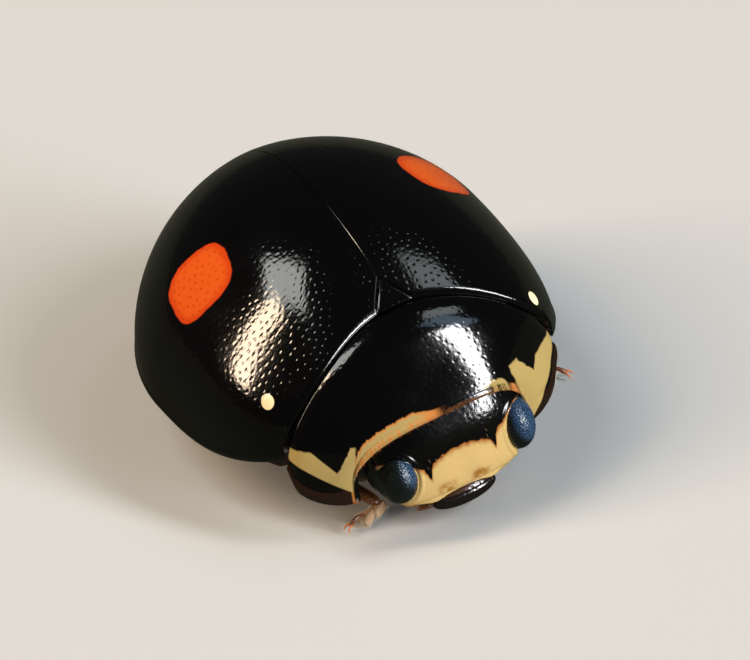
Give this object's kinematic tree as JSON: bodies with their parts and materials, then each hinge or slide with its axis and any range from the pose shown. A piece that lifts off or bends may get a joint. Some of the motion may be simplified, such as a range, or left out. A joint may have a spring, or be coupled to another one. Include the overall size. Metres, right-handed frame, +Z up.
{
  "type": "ladybird",
  "caption": "Life-size still ladybird: domed black wing cases with an orange-red spot each, cream face and collar marks, standing on six feet.",
  "frame": {"origin": "on the floor under the middle of the body's outline as seen from above", "axes": "+Z up, the head faces -Y, the beetle's left side is +X"},
  "size_m": [0.0032, 0.0038, 0.0021],
  "materials": {
    "wing_case": "polished black shell with fine pits and one orange-red spot",
    "pronotum": "polished black shell, cream sides and front border",
    "scutellum": "polished black shell",
    "head": "black crown with fine pits, cream face",
    "eye": "dark facets with a blue-green sheen",
    "mouthparts": "dark brown, glossy",
    "feeler": "brown with fine hairs",
    "underside": "brownish black plates with fine pits and hairs",
    "leg": "orange-brown with fine hairs"
  },
  "bodies": {
    "root": {"elytron_left": "wing_case", "elytron_right": "wing_case", "scutellum": "scutellum", "pronotum": "pronotum", "head": "head", "eye_left": "eye", "eye_right": "eye", "labrum": "mouthparts", "palp_left": "mouthparts", "palp_right": "mouthparts", "antenna_left": "feeler", "antenna_right": "feeler", "prosternum": "underside", "thorax": "underside", "abdomen": "underside", "femur_front_left": "leg", "tibia_front_left": "leg", "tarsus_front_left": "leg", "femur_front_right": "leg", "tibia_front_right": "leg", "tarsus_front_right": "leg", "femur_middle_left": "leg", "tibia_middle_left": "leg", "tarsus_middle_left": "leg", "femur_middle_right": "leg", "tibia_middle_right": "leg", "tarsus_middle_right": "leg", "femur_hind_left": "leg", "tibia_hind_left": "leg", "tarsus_hind_left": "leg", "femur_hind_right": "leg", "tibia_hind_right": "leg", "tarsus_hind_right": "leg"}
  },
  "joints": []
}
